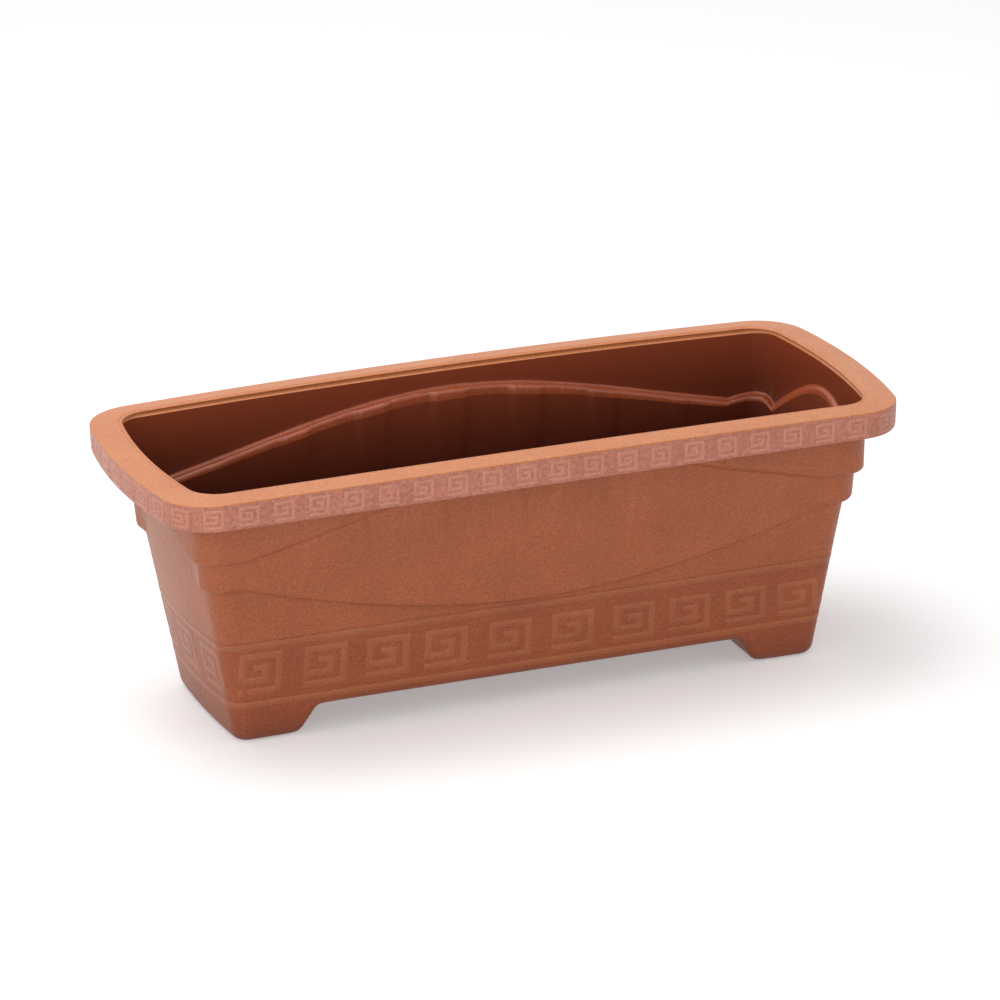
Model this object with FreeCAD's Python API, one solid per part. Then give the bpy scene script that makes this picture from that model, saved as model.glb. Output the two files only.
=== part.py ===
"""Window box planter: one injection-moulded polypropylene trough, 600 mm long, and the two
push-in plugs that close the drain holes in its raised floor.

Millimetres, +Z up, X along the length, -Y the front. The origin is the middle of the
footprint, on the surface that the two feet stand on.
"""
import FreeCAD
import Part
import math
import os

Vec = FreeCAD.Vector

# ---------------------------------------------------------------- driving dimensions
# Rim: a rounded flange with a skirt, whose ends and sides bow outwards
RIM_LENGTH = 600.0
RIM_WIDTH = 250.0
HEIGHT = 214.0
RIM_CORNER_RADIUS = 40.0
RIM_END_BOW = 14.5
RIM_SIDE_BOW = 5.7
RIM_FALL = 1.7              # the flange slopes down by this much towards its outer edge
RIM_THICKNESS = 2.8
RIM_EDGE_BEVEL = 1.6
SKIRT_DEPTH = 23.7
SKIRT_THICKNESS = 2.4
SKIRT_DRAFT = 1.0           # inward lean of the skirt over its depth

# Mouth: the flange's inner edge, and the small bead one step below it
MOUTH_END_MARGIN = 21.2     # flange width at the ends
MOUTH_SIDE_MARGIN = 18.4    # flange width along the sides
MOUTH_CORNER_RADIUS = 27.4
MOUTH_END_BOW = 11.2
MOUTH_SIDE_BOW = 4.9
BEAD_STEP = 1.6
BEAD_WIDTH = 3.4

# Walls: three tiers, each standing proud of the one below it. A tier keeps its corner radius and
# its bows from bottom to top: its four quarters lean apart, and flat strips widen between them.
WALL = 2.4
FOOT_LENGTH = 475.8
FOOT_WIDTH = 140.0
BODY_END_DRAFT = 0.1916     # outward lean per millimetre of height
BODY_SIDE_DRAFT = 0.140
BODY_CORNER_RADIUS = 15.0
BODY_END_BOW = 5.0
BODY_SIDE_BOW = 1.8
LENS_STEP = 4.8             # how far the middle tier stands out of the body
LENS_END_DRAFT = 0.10
LENS_SIDE_DRAFT = 0.09
LENS_CORNER_RADIUS = 18.0
LENS_END_BOW = 7.4
LENS_SIDE_BOW = 2.9
VALANCE_END_STEP = 4.9      # how far the top tier stands out of the middle one, at the ends
VALANCE_SIDE_STEP = 6.0     # and along the sides
VALANCE_DRAFT = 0.05
VALANCE_CORNER_RADIUS = 20.5
VALANCE_END_BOW = 9.2
VALANCE_SIDE_BOW = 4.0
SOLE_BEVEL = 4.5            # bevel round the soles of the feet

# Step lines between the tiers, as heights on the outer face
SWAG_CORNER_Z = 129.0       # lower line at the corners
SWAG_SIDE_Z = 85.0          # lowest point of the lower line on the long sides
SWAG_END_Z = 112.0          # lowest point of the lower line on the ends
ARCH_CORNER_Z = 154.5       # upper line at the corners
ARCH_SIDE_Z = 194.5         # crown of the upper line on the long sides
ARCH_END_Z = 192.0          # crown of the upper line on the ends
CUSP_SIDE_X = 230.0         # where an arc on a long side meets the level corner stretch
CUSP_END_Y = 70.0           # the same on an end
CUSP_ROUND = 25.0           # rounding of that meeting

# Pleats: flutes pressed into the middle tier's long sides, which show as ribs inside
PLEAT_PITCH = 63.5
PLEAT_WIDTHS = (28.0, 25.0, 23.0, 14.0)     # at the top, from the middle one outwards
PLEAT_DEPTH = 2.6                           # at the top; a pleat runs out at its lower end
PLEAT_TOP_Z = 190.0
PLEAT_END_Z = 98.0
PLEAT_NARROWING = 0.45                      # width at the lower end over width at the top
PLEAT_EDGE = 3.0                            # width of a pleat's slanting flank

# Feet: the floor is raised between them
BELLY_Z = 22.0
FOOT_INNER_X = 184.5        # inner foot edge on the ground
BELLY_INNER_X = 169.5       # inner foot edge under the belly
BELLY_ROUND = 5.0           # rounding of the belly's two long corners
FLOOR = 3.0

# Drain holes and their plugs
DRAIN_X = 95.0
DRAIN_RADIUS = 7.0
PLUG_CLEARANCE = 0.08
PLUG_HEAD_RADIUS = 11.0
PLUG_HEAD_THICKNESS = 2.2
PLUG_HEAD_GAP = 0.2
PLUG_SHANK_LENGTH = 8.0
PLUG_BORE_RADIUS = 4.4
PLUG_LEAD_IN = 1.2
PLUG_GRIP_WIDTH = 2.4
PLUG_GRIP_RADIUS = 9.5
PLUG_GRIP_HEIGHT = 5.0
EPS = 1.0                   # overshoot of cutting tools past the faces they cut
SAME = 0.01                 # heights closer than this are the same


# ---------------------------------------------------------------- outlines and solids
def quarter_arcs(half_length, half_width, corner, end_bow, side_bow, inset):
    """Points of one quarter of an outline: half an end arc, a corner arc in two parts and half a
    side arc, each as start, middle and finish. An inset shortens all the radii, so it is a true
    offset."""
    end_radius = (half_width ** 2 + end_bow ** 2) / (2 * end_bow)
    side_radius = (half_length ** 2 + side_bow ** 2) / (2 * side_bow)
    end_centre = Vec(half_length - end_radius, 0, 0)
    side_centre = Vec(0, half_width - side_radius, 0)
    # the corner circle touches both big circles from inside
    to_end = end_radius - corner
    to_side = side_radius - corner
    apart = side_centre - end_centre
    along = (to_end ** 2 - to_side ** 2 + apart.Length ** 2) / (2 * apart.Length)
    across = math.sqrt(to_end ** 2 - along ** 2)
    unit = apart / apart.Length
    normal = Vec(unit.y, -unit.x, 0)
    centre = end_centre + unit * along + normal * across
    if centre.x < 0 or centre.y < 0:
        centre = end_centre + unit * along - normal * across
    first = math.atan2(centre.y - end_centre.y, centre.x - end_centre.x)
    last = math.atan2(centre.y - side_centre.y, centre.x - side_centre.x)

    def arc(origin, radius, start, finish):
        return [Vec(origin.x + (radius - inset) * math.cos(angle),
                    origin.y + (radius - inset) * math.sin(angle), 0)
                for angle in (start, (start + finish) / 2, finish)]

    middle = (first + last) / 2
    return [arc(end_centre, end_radius, 0, first), arc(centre, corner, first, middle),
            arc(centre, corner, middle, last), arc(side_centre, side_radius, last, math.pi / 2)]


def outline(half_length, half_width, corner, end_bow, side_bow, inset, z):
    """Closed wire of eight tangent arcs: a rounded rectangle whose four sides bow outwards."""
    end, *corner_arcs, side = quarter_arcs(half_length, half_width, corner, end_bow, side_bow, inset)
    corner_arc = [corner_arcs[0][0], corner_arcs[0][2], corner_arcs[1][2]]

    def place(p, sx, sy):
        return Vec(p.x * sx, p.y * sy, z)

    edges = []
    for sx, sy, turn in ((1, 1, False), (-1, 1, True), (-1, -1, False), (1, -1, True)):
        points = [place(p, sx, sy) for p in corner_arc]
        if turn:
            points.reverse()
            long_arc = [place(end[2], sx, sy), place(end[0], sx, sy), place(end[2], sx, -sy)]
        else:
            long_arc = [place(side[0], sx, sy), place(side[2], sx, sy), place(side[0], -sx, sy)]
        edges.append(Part.Arc(*points).toShape())
        edges.append(Part.Arc(*long_arc).toShape())
    return Part.Wire(edges)


def frustum(lower, upper):
    """Solid between two outlines, with straight draft."""
    return Part.makeLoft([lower, upper], True, True)


def wedge(half_low, half_high, z_low, z_high, reach, along_x):
    """Block with two slanting sides: its half width goes from one value to another on the way up,
    and it runs through to plus and minus reach along the other axis."""
    def spot(u, z):
        return Vec(u, -reach, z) if along_x else Vec(-reach, u, z)
    corners = [spot(-half_high, z_high), spot(half_high, z_high), spot(half_low, z_low)]
    if half_low > 0:
        corners.append(spot(-half_low, z_low))
    face = Part.Face(Part.makePolygon(corners + corners[:1]))
    return face.extrude(Vec(0, 2 * reach, 0) if along_x else Vec(2 * reach, 0, 0))


class Tier:
    """One tier of the wall. Its half sizes hold at height at_z, and lean out by the drafts."""

    def __init__(self, half_length, half_width, at_z, end_draft, side_draft, corner, end_bow, side_bow):
        self.half_length = half_length
        self.half_width = half_width
        self.at_z = at_z
        self.end_draft = end_draft
        self.side_draft = side_draft
        self.corner = corner
        self.end_bow = end_bow
        self.side_bow = side_bow

    def size(self, z):
        rise = z - self.at_z
        return self.half_length + self.end_draft * rise, self.half_width + self.side_draft * rise

    def solid(self, z_low, z_high, inset=0.0):
        length, width = self.size(z_low)
        arcs = quarter_arcs(length, width, self.corner, self.end_bow, self.side_bow, inset)
        lean_x = self.end_draft * (z_high - z_low)
        lean_y = self.side_draft * (z_high - z_low)
        reach = RIM_LENGTH
        strip_x = wedge(0, lean_x, z_low, z_high, reach, True)
        strip_y = wedge(0, lean_y, z_low, z_high, reach, False)
        block_x = wedge(length - inset, length - inset + lean_x, z_low, z_high, reach, True)
        block_y = wedge(width - inset, width - inset + lean_y, z_low, z_high, reach, False)
        pieces = [strip_x.common(block_y), strip_y.common(block_x)]
        for sx in (1, -1):
            for sy in (1, -1):
                edges = [Part.Arc(*[Vec(p.x * sx, p.y * sy, z_low) for p in arc]).toShape() for arc in arcs]
                tip_x = Vec((length - inset) * sx, 0, z_low)
                tip_y = Vec(0, (width - inset) * sy, z_low)
                middle = Vec(0, 0, z_low)
                edges += [Part.LineSegment(tip_y, middle).toShape(), Part.LineSegment(middle, tip_x).toShape()]
                face = Part.Face(Part.Wire(Part.__sortEdges__(edges)))
                pieces.append(face.extrude(Vec(lean_x * sx, lean_y * sy, z_high - z_low)))
        return pieces[0].multiFuse(pieces[1:]).removeSplitter()


BODY = Tier(FOOT_LENGTH / 2, FOOT_WIDTH / 2, 0.0, BODY_END_DRAFT, BODY_SIDE_DRAFT,
            BODY_CORNER_RADIUS, BODY_END_BOW, BODY_SIDE_BOW)
lens_length, lens_width = BODY.size(SWAG_CORNER_Z)
LENS = Tier(lens_length + LENS_STEP, lens_width + LENS_STEP, SWAG_CORNER_Z,
            LENS_END_DRAFT, LENS_SIDE_DRAFT, LENS_CORNER_RADIUS, LENS_END_BOW, LENS_SIDE_BOW)
valance_length, valance_width = LENS.size(ARCH_CORNER_Z)
VALANCE = Tier(valance_length + VALANCE_END_STEP, valance_width + VALANCE_SIDE_STEP,
               ARCH_CORNER_Z, VALANCE_DRAFT, VALANCE_DRAFT,
               VALANCE_CORNER_RADIUS, VALANCE_END_BOW, VALANCE_SIDE_BOW)
BEVEL = Tier(FOOT_LENGTH / 2 + BODY_END_DRAFT * SOLE_BEVEL, FOOT_WIDTH / 2 + BODY_SIDE_DRAFT * SOLE_BEVEL,
             SOLE_BEVEL, 1.0, 1.0, BODY_CORNER_RADIUS, BODY_END_BOW, BODY_SIDE_BOW)


# ---------------------------------------------------------------- step lines
def step_curve(cusp, corner_z, middle_z):
    """Points (u, z) of half a step line from the level stretch in to its middle: where the
    level line ends, the middle and the end of the rounding, a point on the big arc, its middle."""
    rise = abs(middle_z - corner_z)
    sign = 1 if middle_z > corner_z else -1
    radius = (cusp ** 2 + rise ** 2) / (2 * rise)
    centre_z = rise - radius
    reach = radius + CUSP_ROUND
    round_u = math.sqrt(reach ** 2 - (CUSP_ROUND - centre_z) ** 2)
    tilt = math.atan2(round_u, CUSP_ROUND - centre_z)
    points = [(round_u, 0.0),
              (round_u - CUSP_ROUND * math.sin(tilt / 2),
               CUSP_ROUND - CUSP_ROUND * math.cos(tilt / 2)),
              (radius * math.sin(tilt), centre_z + radius * math.cos(tilt)),
              (0.0, rise)]
    return [(u, corner_z + sign * z) for u, z in points]


def below_line(cusp, corner_z, middle_z, along_x, raise_by=0.0):
    """Solid block of everything under a step line, through the whole planter along one axis."""
    half = [(u, z + raise_by) for u, z in step_curve(cusp, corner_z, middle_z)]
    reach = RIM_LENGTH
    level = corner_z + raise_by

    def spot(u, z):
        return Vec(u, -reach, z) if along_x else Vec(-reach, u, z)

    def arc(*points):
        return Part.Arc(*[spot(u, z) for u, z in points]).toShape()

    def line(start, end):
        return Part.LineSegment(spot(*start), spot(*end)).toShape()

    mirrored = [(-u, z) for u, z in half]
    edges = [line((-reach, level), mirrored[0]),
             arc(*mirrored[:3]),
             arc(mirrored[2], half[3], half[2]),
             arc(*reversed(half[:3])),
             line(half[0], (reach, level)),
             line((reach, level), (reach, -EPS)),
             line((reach, -EPS), (-reach, -EPS)),
             line((-reach, -EPS), (-reach, level))]
    face = Part.Face(Part.Wire(edges))
    return face.extrude(Vec(0, 2 * reach, 0) if along_x else Vec(2 * reach, 0, 0))


def tier_above(tier, heights, z_top, wall=0.0):
    """The part of a tier above its step line, which runs round the long sides and the ends.
    With a wall it is the tier's inside: smaller all round, and one wall higher at the step."""
    corner_z, side_z, end_z = heights
    under_sides = below_line(CUSP_SIDE_X, corner_z, side_z, True, wall)
    under_ends = below_line(CUSP_END_Y, corner_z, end_z, False, wall)
    sags = side_z < corner_z
    under = under_sides.common(under_ends) if sags else under_sides.fuse(under_ends)
    return tier.solid(min(heights), z_top, wall).cut(under)


def pleat(x, width, side, wall=0.0):
    """Tapered flute in a long side of the middle tier, as the tool that presses it in. It is
    deepest and widest at the top. With a wall it is the rib that the flute makes inside."""
    def section(z, depth, half):
        skin = LENS.size(z)[1]
        floor_y = side * (skin - depth - wall)
        mouth_y = side * (skin + PLEAT_DEPTH)
        flare = PLEAT_EDGE * (1 + (depth + PLEAT_DEPTH) / PLEAT_DEPTH) / 2
        floor_half = half - PLEAT_EDGE / 2 + wall / 2
        mouth_half = floor_half + flare
        corners = [Vec(x - floor_half, floor_y, z), Vec(x + floor_half, floor_y, z),
                   Vec(x + mouth_half, mouth_y, z), Vec(x - mouth_half, mouth_y, z)]
        return Part.makePolygon(corners + corners[:1])
    top = section(TIER_TOP_Z, PLEAT_DEPTH * (TIER_TOP_Z - PLEAT_END_Z) / (PLEAT_TOP_Z - PLEAT_END_Z), width / 2)
    low = section(PLEAT_END_Z, 0.0, PLEAT_NARROWING * width / 2)
    return Part.makeLoft([low, top], True, True)


def pleats(wall=0.0):
    """All the pleats of both long sides."""
    count = len(PLEAT_WIDTHS)
    return [pleat(index * PLEAT_PITCH, PLEAT_WIDTHS[abs(index)], side, wall)
            for index in range(1 - count, count) for side in (-1, 1)]


# ---------------------------------------------------------------- planter box
RIM_EDGE_Z = HEIGHT - RIM_FALL
FLANGE_UNDER_Z = RIM_EDGE_Z - RIM_THICKNESS
TIER_TOP_Z = RIM_EDGE_Z - RIM_THICKNESS / 2
BEAD_Z = HEIGHT - BEAD_STEP
BODY_TOP_Z = SWAG_CORNER_Z + WALL + EPS
SWAG = (SWAG_CORNER_Z, SWAG_SIDE_Z, SWAG_END_Z)
ARCH = (ARCH_CORNER_Z, ARCH_SIDE_Z, ARCH_END_Z)


def rim_outline(inset, z):
    return outline(RIM_LENGTH / 2, RIM_WIDTH / 2, RIM_CORNER_RADIUS, RIM_END_BOW, RIM_SIDE_BOW, inset, z)


def mouth_outline(inset, z):
    return outline(RIM_LENGTH / 2 - MOUTH_END_MARGIN, RIM_WIDTH / 2 - MOUTH_SIDE_MARGIN,
                   MOUTH_CORNER_RADIUS, MOUTH_END_BOW, MOUTH_SIDE_BOW, inset, z)


def level_edges(shape, z):
    """Edges that lie at one height."""
    return [edge for edge in shape.Edges
            if max(abs(edge.BoundBox.ZMin - z), abs(edge.BoundBox.ZMax - z)) < SAME]


def rim():
    """Flange with its skirt, still closed across the mouth."""
    bevel_z = RIM_EDGE_Z - RIM_EDGE_BEVEL
    skirt = frustum(rim_outline(SKIRT_DRAFT, HEIGHT - SKIRT_DEPTH), rim_outline(0, bevel_z))
    bevel = frustum(rim_outline(0, bevel_z), rim_outline(RIM_EDGE_BEVEL, RIM_EDGE_Z))
    crown = frustum(rim_outline(RIM_EDGE_BEVEL, RIM_EDGE_Z), rim_outline(MOUTH_SIDE_MARGIN, HEIGHT))
    block = skirt.fuse(bevel).fuse(crown).removeSplitter()
    inset = SKIRT_THICKNESS
    hollow = frustum(rim_outline(SKIRT_DRAFT + inset, HEIGHT - SKIRT_DEPTH - EPS),
                     rim_outline(inset, FLANGE_UNDER_Z))
    return block.cut(hollow)


def tunnel(wall=0.0):
    """Block of air under the raised floor, through the planter from front to back. With a
    wall it is the raised floor's upper side."""
    reach = RIM_WIDTH
    slope = (FOOT_INNER_X - BELLY_INNER_X) / BELLY_Z
    widen = wall * math.sqrt(1 + slope ** 2)
    top_z = BELLY_Z + (FLOOR if wall else 0.0)
    low_x = FOOT_INNER_X + widen + slope * EPS
    top_x = FOOT_INNER_X + widen - slope * top_z
    corners = [Vec(-low_x, -reach, -EPS), Vec(-top_x, -reach, top_z),
               Vec(top_x, -reach, top_z), Vec(low_x, -reach, -EPS)]
    face = Part.Face(Part.makePolygon(corners + corners[:1]))
    block = face.extrude(Vec(0, 2 * reach, 0))
    ridges = [e for e in level_edges(block, top_z) if e.BoundBox.YLength > reach]
    return block.makeFillet(BELLY_ROUND + wall, ridges)


def planter_box():
    outside = BODY.solid(SOLE_BEVEL, BODY_TOP_Z).fuse(BEVEL.solid(0, SOLE_BEVEL)).cut(tunnel())
    outside = outside.fuse(tier_above(LENS, SWAG, TIER_TOP_Z).cut(pleats()))
    outside = outside.fuse(tier_above(VALANCE, ARCH, TIER_TOP_Z)).fuse(rim())

    cavity = BODY.solid(FLOOR, BODY_TOP_Z, WALL).cut(tunnel(WALL))
    cavity = cavity.fuse(tier_above(LENS, SWAG, TIER_TOP_Z, WALL).cut(pleats(WALL)))
    cavity = cavity.fuse(tier_above(VALANCE, ARCH, TIER_TOP_Z, WALL))
    throat = frustum(mouth_outline(BEAD_WIDTH, TIER_TOP_Z - EPS), mouth_outline(BEAD_WIDTH, BEAD_Z + EPS))
    recess = frustum(mouth_outline(0, BEAD_Z), mouth_outline(0, HEIGHT + EPS))
    cavity = cavity.fuse([throat, recess])

    box = outside.cut(cavity)
    for x in (-DRAIN_X, DRAIN_X):
        box = box.cut(Part.makeCylinder(DRAIN_RADIUS, FLOOR + 2 * EPS, Vec(x, 0, BELLY_Z - EPS)))
    return box.removeSplitter()


# ---------------------------------------------------------------- drain plugs
def drain_plug(x):
    """Push-in plug: a flat head under the floor, a hollow shank through it and a pull tab."""
    head_top = BELLY_Z - PLUG_HEAD_GAP
    head_low = head_top - PLUG_HEAD_THICKNESS
    radius = DRAIN_RADIUS - PLUG_CLEARANCE
    shank_top = head_top + PLUG_SHANK_LENGTH
    profile = [Vec(0, 0, head_low), Vec(PLUG_HEAD_RADIUS, 0, head_low),
               Vec(PLUG_HEAD_RADIUS, 0, head_top), Vec(radius, 0, head_top),
               Vec(radius, 0, shank_top - PLUG_LEAD_IN),
               Vec(radius - PLUG_LEAD_IN, 0, shank_top),
               Vec(PLUG_BORE_RADIUS, 0, shank_top), Vec(PLUG_BORE_RADIUS, 0, head_top),
               Vec(0, 0, head_top)]
    body = Part.Face(Part.makePolygon(profile + profile[:1])).revolve(Vec(), Vec(0, 0, 1), 360)
    tab = Part.makeBox(2 * PLUG_HEAD_RADIUS, PLUG_GRIP_WIDTH, PLUG_GRIP_HEIGHT,
                       Vec(-PLUG_HEAD_RADIUS, -PLUG_GRIP_WIDTH / 2, head_low - PLUG_GRIP_HEIGHT))
    disc = Part.makeCylinder(PLUG_GRIP_RADIUS, PLUG_GRIP_HEIGHT,
                             Vec(0, 0, head_low - PLUG_GRIP_HEIGHT))
    plug = body.fuse(tab.common(disc)).removeSplitter()
    plug.translate(Vec(x, 0, 0))
    return plug


def main():
    os.makedirs("parts", exist_ok=True)
    parts = {"planter_box": planter_box(),
             "drain_plug_left": drain_plug(-DRAIN_X),
             "drain_plug_right": drain_plug(DRAIN_X)}
    for name, shape in parts.items():
        box = shape.BoundBox
        print(name, "solids", len(shape.Solids), "valid", shape.isValid(),
              "volume %.0f" % shape.Volume, "z %.1f to %.1f" % (box.ZMin, box.ZMax),
              "size %.1f %.1f %.1f" % (box.XLength, box.YLength, box.ZLength))
        shape.exportStep("parts/%s.step" % name)


main()
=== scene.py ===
import math

import bmesh
import bpy
import numpy as np
from mathutils import Matrix, Vector


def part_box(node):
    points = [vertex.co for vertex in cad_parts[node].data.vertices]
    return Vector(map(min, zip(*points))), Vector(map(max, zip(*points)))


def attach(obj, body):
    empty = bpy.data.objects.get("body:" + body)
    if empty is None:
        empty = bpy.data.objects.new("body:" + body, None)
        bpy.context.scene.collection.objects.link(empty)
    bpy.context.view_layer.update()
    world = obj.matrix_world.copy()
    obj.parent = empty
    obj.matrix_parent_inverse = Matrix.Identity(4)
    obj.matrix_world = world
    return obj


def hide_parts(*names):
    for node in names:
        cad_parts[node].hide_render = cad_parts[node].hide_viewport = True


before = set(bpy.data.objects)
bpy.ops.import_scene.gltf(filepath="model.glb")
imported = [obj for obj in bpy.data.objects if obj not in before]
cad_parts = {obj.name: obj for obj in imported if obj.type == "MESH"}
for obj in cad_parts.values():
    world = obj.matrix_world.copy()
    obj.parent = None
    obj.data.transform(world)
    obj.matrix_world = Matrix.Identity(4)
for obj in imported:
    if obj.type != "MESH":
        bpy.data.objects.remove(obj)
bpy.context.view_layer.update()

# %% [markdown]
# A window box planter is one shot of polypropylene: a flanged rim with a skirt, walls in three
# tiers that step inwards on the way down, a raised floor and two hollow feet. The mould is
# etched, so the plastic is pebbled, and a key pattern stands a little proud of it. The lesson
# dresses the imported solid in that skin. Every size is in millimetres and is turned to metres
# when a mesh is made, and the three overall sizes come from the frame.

MM = 0.001
box_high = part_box("planter_box")[1]
RIM_HALF_LENGTH = box_high[0] / MM
RIM_HALF_WIDTH = box_high[1] / MM
HEIGHT = box_high[2] / MM
print("rim", round(2 * RIM_HALF_LENGTH, 1), "by", round(2 * RIM_HALF_WIDTH, 1), "height", round(HEIGHT, 1))

# %% [markdown]
# Seen from above, every level of the box is the same kind of outline: two long sides and two
# ends that bow outwards, joined by round corners. It could be drawn as a spline, but eight
# tangent arcs are what the toolmaker cut, and arcs stay true when the outline grows with height.
# The outline below takes whole arrays, so that one call places a full grid of points.

# %% The plan outline


def arc_sizes(half_length, half_width, corner, end_bow, side_bow):
    """Radii and centres of the three arcs of one quadrant. A bow of sagitta b over a half chord c
    has radius (c^2 + b^2) / 2b, and the corner circle touches both bows from inside."""
    end_r = (half_width ** 2 + end_bow ** 2) / (2 * end_bow)
    side_r = (half_length ** 2 + side_bow ** 2) / (2 * side_bow)
    end_x = half_length - end_r
    side_y = half_width - side_r
    to_end = end_r - corner
    to_side = side_r - corner
    span = np.hypot(end_x, side_y)
    along = (to_end ** 2 - to_side ** 2 + span ** 2) / (2 * span)
    across = np.sqrt(to_end ** 2 - along ** 2)
    ux, uy = -end_x / span, side_y / span
    sign = np.where(end_x + ux * along + uy * across > 0, 1.0, -1.0)
    cx = end_x + ux * along + sign * uy * across
    cy = uy * along - sign * ux * across
    return end_r, side_r, end_x, side_y, cx, cy


def outline(u, sx, sy, size, inset=0.0):
    """Points of the outline. In one quadrant u runs 0 to 1 along the end, 1 to 2 round the corner
    and 2 to 3 along the side; sx and sy are the signs of the quadrant. An inset shortens all
    three radii, so it is a true offset."""
    half_length, half_width, corner, end_bow, side_bow = size
    end_r, side_r, end_x, side_y, cx, cy = arc_sizes(half_length, half_width, corner, end_bow, side_bow)
    first = np.arctan2(cy, cx - end_x)
    last = np.arctan2(cy - side_y, cx)
    end_angle = first * np.clip(u, 0, 1)
    corner_angle = first + (last - first) * np.clip(u - 1, 0, 1)
    side_angle = last + (np.pi / 2 - last) * np.clip(u - 2, 0, 1)
    x = np.where(u < 1, end_x + (end_r - inset) * np.cos(end_angle),
                 np.where(u < 2, cx + (corner - inset) * np.cos(corner_angle),
                          (side_r - inset) * np.cos(side_angle)))
    y = np.where(u < 1, (end_r - inset) * np.sin(end_angle),
                 np.where(u < 2, cy + (corner - inset) * np.sin(corner_angle),
                          side_y + (side_r - inset) * np.sin(side_angle)))
    return sx * x, sy * y


print("arcs of a 600 by 250 outline:", [round(float(r)) for r in arc_sizes(300, 125, 40, 14.5, 5.7)[:2]])

# %% [markdown]
# Every moulded surface shares the same columns, one closed loop of stations round the box. They
# could be evenly spaced, but the corners turn fast and the narrow outer pleats need a point every
# millimetre, so the spacing follows what there is to show.

# %% Stations round the box
STATIONS_PER_END = 26
STATIONS_PER_CORNER = 22
SIDE_STATIONS_X = np.concatenate([np.linspace(226, 193, 18), np.linspace(192, 161, 32),
                                  np.linspace(160, 0, 81)])


def ring(per_end, per_corner, side_fractions):
    """Stations of one closed loop round the box: arrays u, sx and sy. The second and fourth
    quadrants are walked backwards, so that the loop is unbroken and runs anticlockwise."""
    quarter_loop = np.concatenate([np.linspace(0, 1, per_end, endpoint=False),
                                   np.linspace(1, 2, per_corner, endpoint=False), 2 + side_fractions])
    us, xs, ys = [], [], []
    for sx, sy, backwards in ((1, 1, False), (-1, 1, True), (-1, -1, False), (1, -1, True)):
        u = quarter_loop[::-1][:-1] if backwards else quarter_loop[:-1]
        us.append(u)
        xs.append(np.full(len(u), sx))
        ys.append(np.full(len(u), sy))
    return np.concatenate(us), np.concatenate(xs), np.concatenate(ys)


U, SX, SY = ring(STATIONS_PER_END, STATIONS_PER_CORNER, 1 - SIDE_STATIONS_X / SIDE_STATIONS_X[0])
print("stations in a loop:", len(U))

# %% [markdown]
# The three tiers are drafted boxes, each a few millimetres larger than the one below, as a mould
# needs them so that the box slips off its core. A loft between a few drawn sections would do, but
# a size written for any height lets a point of the skin be a plain blend between tiers. The
# lowest tier is the body, the middle one the lens between the two step lines, and the top one the
# valance that hangs from the rim.

# %% The tiers of the wall
WALL = 2.4
FOOT_HALF_LENGTH = 237.9
FOOT_HALF_WIDTH = 70.0
SOLE_CORNER = 12.0
CORNER_GROWTH = 0.047
SOLE_END_BOW = 3.4
END_BOW_GROWTH = 0.034
SOLE_SIDE_BOW = 0.6
MOUTH_SIDE_BOW = 4.9
END_DRAFT = 0.1916
SIDE_DRAFT = 0.140
SWAG_CORNER_Z = 129.0
ARCH_CORNER_Z = 154.5
LENS_STEP = 4.8
LENS_END_DRAFT = 0.10
LENS_SIDE_DRAFT = 0.09
VALANCE_END_STEP = 4.9
VALANCE_SIDE_STEP = 6.0
VALANCE_DRAFT = 0.05


def plan(half_length, half_width, z):
    """Outline size at height z: corners and bows grow steadily on the way up."""
    return (half_length, half_width, SOLE_CORNER + CORNER_GROWTH * z, SOLE_END_BOW + END_BOW_GROWTH * z,
            SOLE_SIDE_BOW + (MOUTH_SIDE_BOW - SOLE_SIDE_BOW) * z / HEIGHT)


def body_size(z):
    """Lowest tier: foot half sizes plus draft times height."""
    return plan(FOOT_HALF_LENGTH + END_DRAFT * z, FOOT_HALF_WIDTH + SIDE_DRAFT * z, z)


def lens_size(z):
    """Middle tier: the body's half sizes at the swag, one step out, plus its own draft."""
    rise = z - SWAG_CORNER_Z
    return plan(FOOT_HALF_LENGTH + END_DRAFT * SWAG_CORNER_Z + LENS_STEP + LENS_END_DRAFT * rise,
                FOOT_HALF_WIDTH + SIDE_DRAFT * SWAG_CORNER_Z + LENS_STEP + LENS_SIDE_DRAFT * rise, z)


def valance_size(z):
    """Top tier: the lens's half sizes at the arch, one more step out, plus its own draft."""
    rise = z - ARCH_CORNER_Z
    length, width = lens_size(ARCH_CORNER_Z)[:2]
    return plan(length + VALANCE_END_STEP + VALANCE_DRAFT * rise,
                width + VALANCE_SIDE_STEP + VALANCE_DRAFT * rise, z)


print("wall half length at sole and rim:", body_size(0.0)[0], round(valance_size(HEIGHT)[0], 1))

# %% [markdown]
# The steps between the tiers aren't level. On the long sides the lower step sags like a swag and
# the upper one rises in an arch under the rim, and both run level round the corners. On the ends
# the arch is a tight one. Each line could be a hand-drawn curve projected on the wall, but as a
# height over the loop's stations it bends every row of the skin with it, and no cut is needed.

# %% The step lines
SWAG_SIDE_Z = 85.0
SWAG_END_Z = 126.0
ARCH_SIDE_Z = 194.5
ARCH_END_Z = 188.0
CUSP_SIDE_X = 229.0
CUSP_END_Y = 76.0
SWAG_EASE = (0.1, 0.5)
ARCH_SIDE_EASE = 0.4

# How the lines pass the corners: the arch falls towards the end's cusp and humps between the
# cusps, both lines settle below their corner height, and the arch eases into its cusp on an end
CORNERS_OUTSIDE = {"fall": 1.5, "hump": 0.0, "settle": 2.6, "end_ease": 0.95}
CORNERS_INSIDE = {"fall": 5.0, "hump": 4.5, "settle": 0.0, "end_ease": 0.3}


def smooth_step(v):
    """3v^2 - 2v^3 between 0 and 1, level beyond."""
    v = np.clip(v, 0, 1)
    return v * v * (3 - 2 * v)


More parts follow.
